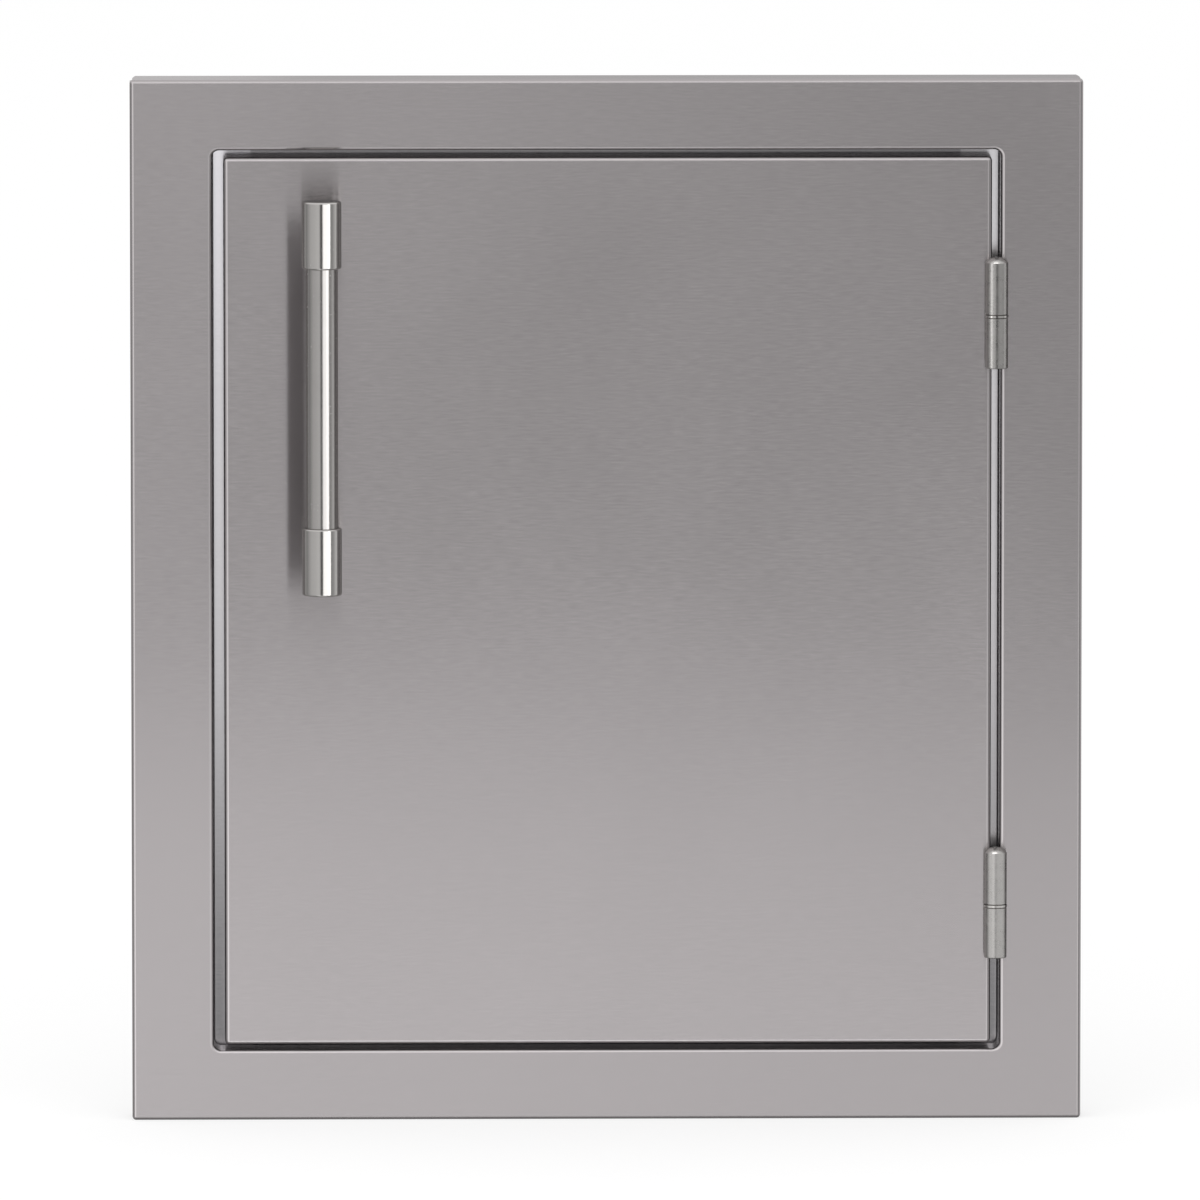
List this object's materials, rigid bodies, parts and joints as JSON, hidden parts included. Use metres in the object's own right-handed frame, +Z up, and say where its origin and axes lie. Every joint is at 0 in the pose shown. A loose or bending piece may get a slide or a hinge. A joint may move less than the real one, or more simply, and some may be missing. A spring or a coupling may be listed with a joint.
{
  "type": "bbq island access door",
  "caption": "Flush-mounted stainless access door: folded face frame and jamb box, double-walled door on lift-off pin hinges, bar handle and magnetic catch.",
  "frame": {"origin": "middle of the wall cut-out, on the face of the wall that the frame's back lips lie on", "axes": "+Z up, along the hinge pins; +X towards the hinge side; -Y out of the wall, the way the door faces"},
  "size_m": [0.4444, 0.102, 0.489],
  "materials": {
    "brushed_stainless": "fine horizontal brush",
    "mill_stainless": "mill finish",
    "handle_stainless": "polished satin",
    "cast_stainless": "tumbled casting",
    "turned_stainless": "turned",
    "plated_steel": "bright zinc",
    "seal_rubber": "matt",
    "catch_plastic": "moulded",
    "magnet_ferrite": "sintered"
  },
  "bodies": {
    "frame": {"face_frame": "brushed_stainless", "jamb_left": "mill_stainless", "stop_left": "mill_stainless", "seal_left": "seal_rubber", "jamb_right": "mill_stainless", "stop_right": "mill_stainless", "seal_right": "seal_rubber", "jamb_head": "mill_stainless", "stop_head": "mill_stainless", "seal_head": "seal_rubber", "jamb_sill": "mill_stainless", "stop_sill": "mill_stainless", "seal_sill": "seal_rubber", "hinge_upper_frame_half": "cast_stainless", "hinge_upper_pin": "turned_stainless", "hinge_upper_ring": "turned_stainless", "hinge_lower_frame_half": "cast_stainless", "hinge_lower_pin": "turned_stainless", "hinge_lower_ring": "turned_stainless", "hinge_frame_plates": "plated_steel", "hinge_frame_screws": "turned_stainless", "catch_housing": "catch_plastic", "catch_magnet": "magnet_ferrite", "catch_poles": "plated_steel", "catch_screws": "turned_stainless"},
    "door": {"door_skin": "brushed_stainless", "door_liner": "mill_stainless", "door_stiffener_left": "mill_stainless", "door_stiffener_right": "mill_stainless", "hinge_upper_door_half": "cast_stainless", "hinge_lower_door_half": "cast_stainless", "hinge_door_plates": "plated_steel", "hinge_door_screws": "turned_stainless", "handle_bar": "handle_stainless", "handle_ferrule_upper": "handle_stainless", "handle_post_upper": "handle_stainless", "handle_ferrule_lower": "handle_stainless", "handle_post_lower": "handle_stainless", "handle_screws": "turned_stainless", "handle_washers": "turned_stainless", "handle_sleeves": "plated_steel", "strike_plate": "plated_steel", "strike_rivets": "turned_stainless"}
  },
  "joints": [
    {"name": "door_swing", "type": "hinge", "parent": "frame", "child": "door", "pos_m": [0.1819, -0.02975, 0], "axis": [0, 0, 1], "range_deg": [0, 170]}
  ]
}
